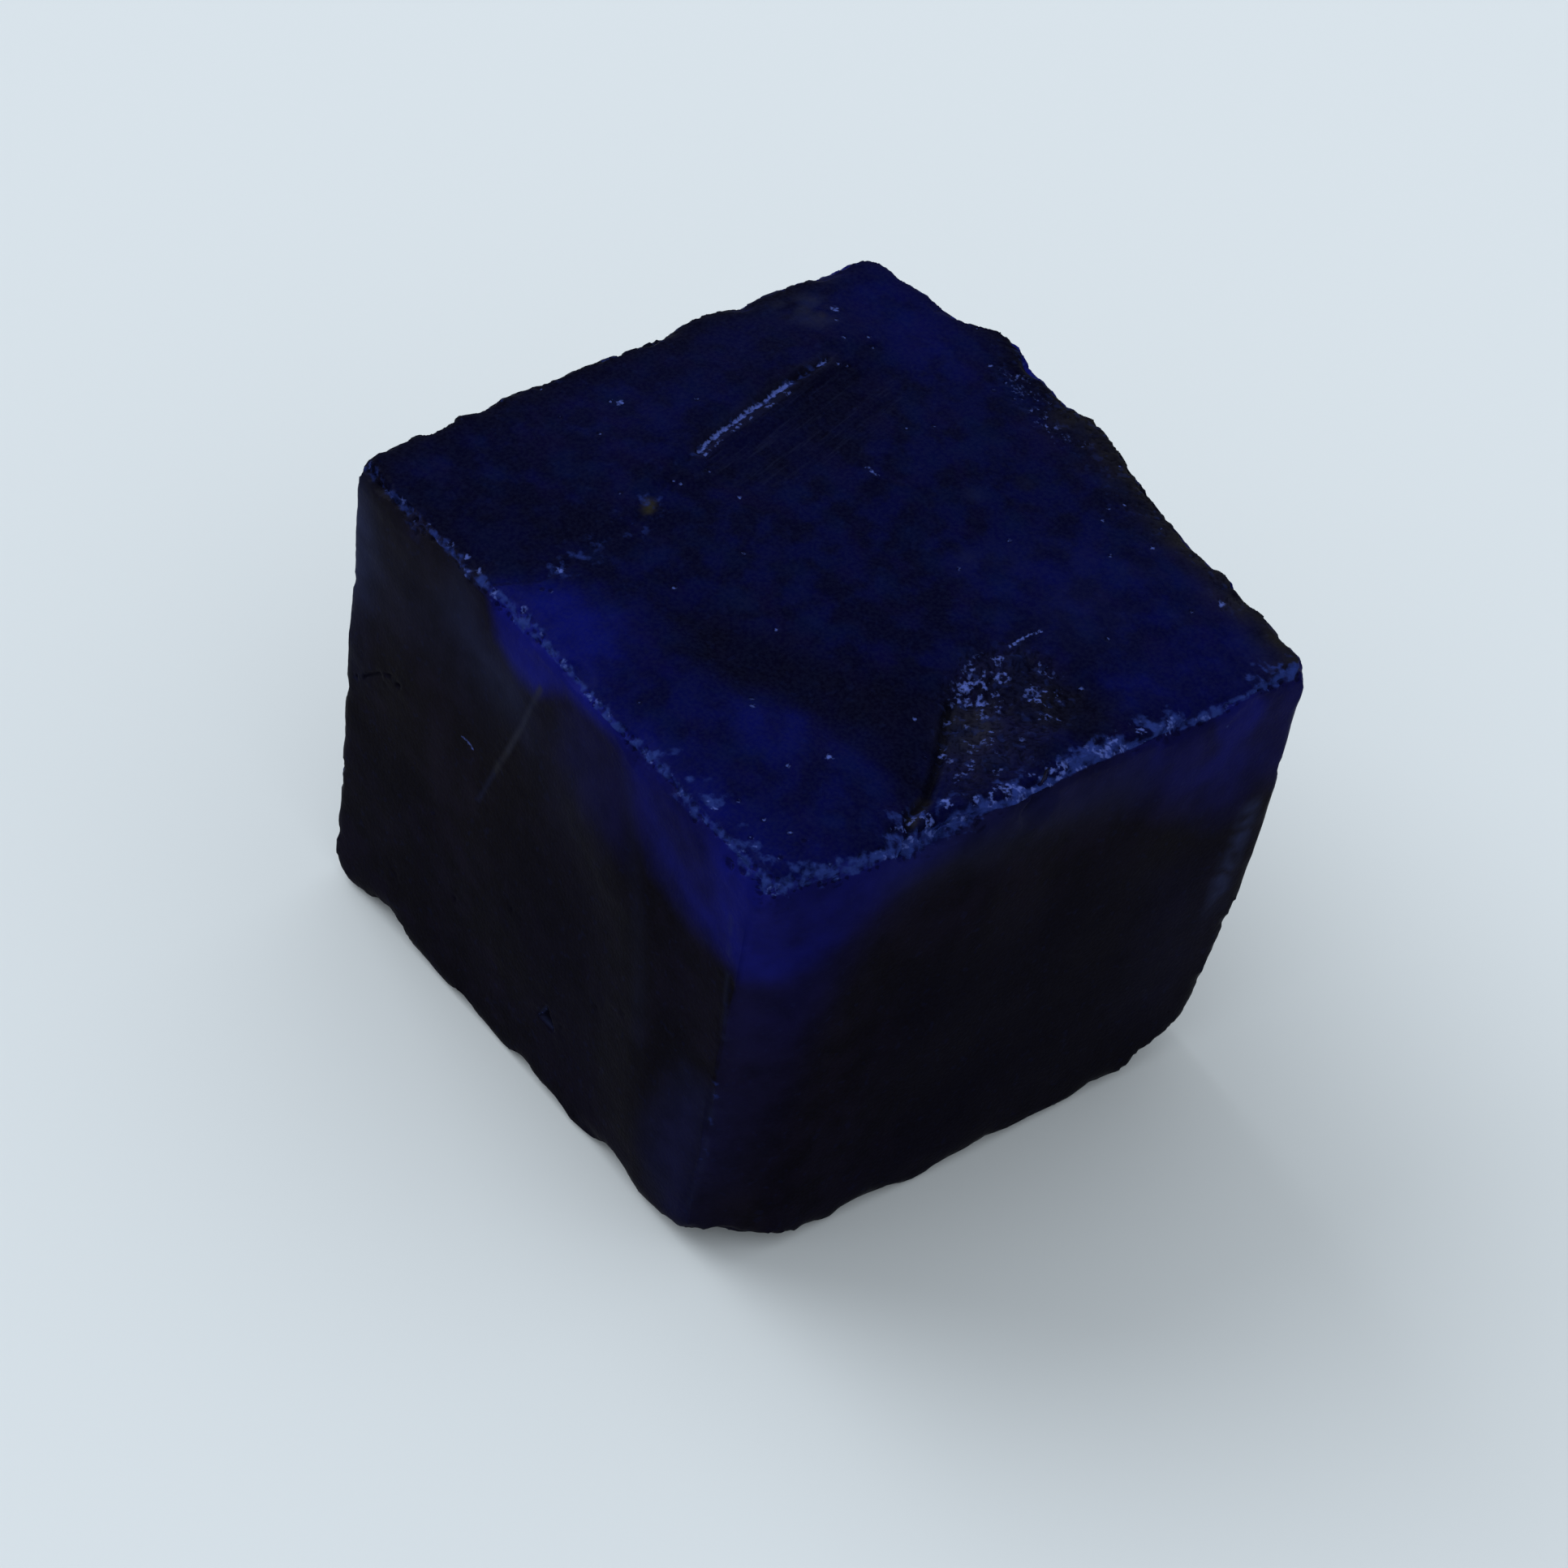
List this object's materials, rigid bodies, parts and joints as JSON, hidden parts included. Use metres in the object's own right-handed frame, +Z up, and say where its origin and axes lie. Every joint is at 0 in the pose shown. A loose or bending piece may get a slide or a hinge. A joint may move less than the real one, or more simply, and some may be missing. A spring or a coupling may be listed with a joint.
{
  "type": "raw tanzanite crystal",
  "caption": "Rough block-shaped deep blue tanzanite crystal with cleaved faces, crumbled edges and a flat underside to rest on.",
  "frame": {"origin": "middle of the bounding box at the underside", "axes": "+Z up from the underside to the scarred top face, +X towards the right-hand face (longest side), -Y towards the front face"},
  "size_m": [0.0258, 0.0252, 0.0203],
  "materials": {
    "tanzanite": "deep blue, nearly black inside, satin cleaved faces with pale crumbled edges"
  },
  "bodies": {
    "root": {"tanzanite_crystal": "tanzanite"}
  },
  "joints": []
}
